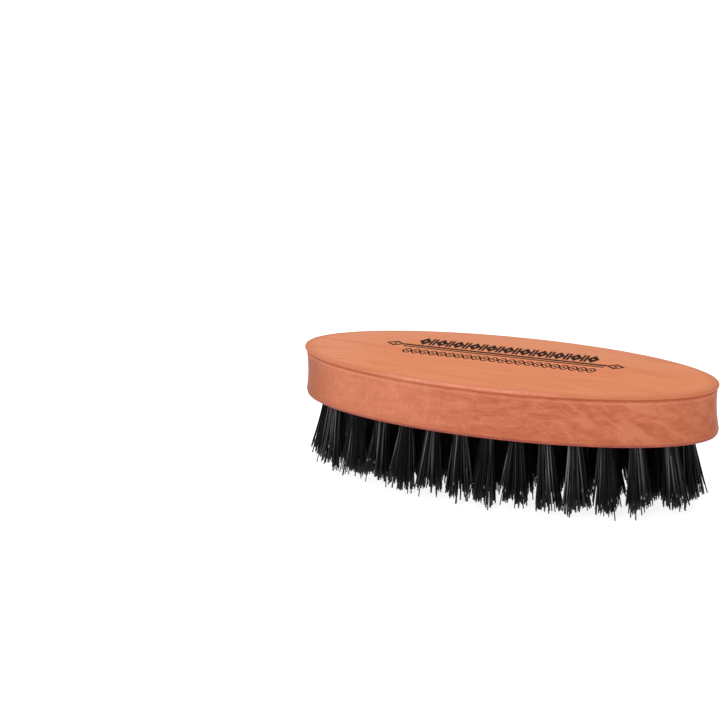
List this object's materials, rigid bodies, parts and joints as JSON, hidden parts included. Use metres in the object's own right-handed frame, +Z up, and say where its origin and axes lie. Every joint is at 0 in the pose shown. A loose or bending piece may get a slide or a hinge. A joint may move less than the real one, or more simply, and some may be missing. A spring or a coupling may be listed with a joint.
{
  "type": "beard brush",
  "caption": "Travel-size beard brush: flat-backed oval wooden block with a hollowed side, set with rows of short dark bristle tufts.",
  "frame": {"origin": "middle of the oval, in the plane of the bristle tips that the brush stands on", "axes": "+X along the oval's long axis, +Y across it, +Z up from the tips and out of the flat wooden back"},
  "size_m": [0.115, 0.041, 0.035],
  "materials": {
    "pear_wood": "satin",
    "boar_bristle": "satin",
    "staple_wire": "satin",
    "print_ink": "matte"
  },
  "bodies": {
    "root": {"wood_block": "pear_wood", "tuft_centre_01": "boar_bristle", "tuft_centre_02": "boar_bristle", "tuft_centre_03": "boar_bristle", "tuft_centre_04": "boar_bristle", "tuft_centre_05": "boar_bristle", "tuft_centre_06": "boar_bristle", "tuft_centre_07": "boar_bristle", "tuft_inner_01": "boar_bristle", "tuft_inner_02": "boar_bristle", "tuft_inner_03": "boar_bristle", "tuft_inner_04": "boar_bristle", "tuft_inner_05": "boar_bristle", "tuft_inner_06": "boar_bristle", "tuft_inner_07": "boar_bristle", "tuft_inner_08": "boar_bristle", "tuft_inner_09": "boar_bristle", "tuft_inner_10": "boar_bristle", "tuft_inner_11": "boar_bristle", "tuft_inner_12": "boar_bristle", "tuft_inner_13": "boar_bristle", "tuft_inner_14": "boar_bristle", "tuft_inner_15": "boar_bristle", "tuft_inner_16": "boar_bristle", "tuft_inner_17": "boar_bristle", "tuft_inner_18": "boar_bristle", "tuft_inner_19": "boar_bristle", "tuft_inner_20": "boar_bristle", "tuft_inner_21": "boar_bristle", "tuft_inner_22": "boar_bristle", "tuft_inner_23": "boar_bristle", "tuft_inner_24": "boar_bristle", "tuft_outer_01": "boar_bristle", "tuft_outer_02": "boar_bristle", "tuft_outer_03": "boar_bristle", "tuft_outer_04": "boar_bristle", "tuft_outer_05": "boar_bristle", "tuft_outer_06": "boar_bristle", "tuft_outer_07": "boar_bristle", "tuft_outer_08": "boar_bristle", "tuft_outer_09": "boar_bristle", "tuft_outer_10": "boar_bristle", "tuft_outer_11": "boar_bristle", "tuft_outer_12": "boar_bristle", "tuft_outer_13": "boar_bristle", "tuft_outer_14": "boar_bristle", "tuft_outer_15": "boar_bristle", "tuft_outer_16": "boar_bristle", "tuft_outer_17": "boar_bristle", "tuft_outer_18": "boar_bristle", "tuft_outer_19": "boar_bristle", "tuft_outer_20": "boar_bristle", "tuft_outer_21": "boar_bristle", "tuft_outer_22": "boar_bristle", "tuft_outer_23": "boar_bristle", "tuft_outer_24": "boar_bristle", "tuft_outer_25": "boar_bristle", "tuft_outer_26": "boar_bristle", "tuft_outer_27": "boar_bristle", "tuft_outer_28": "boar_bristle"}
  },
  "joints": []
}
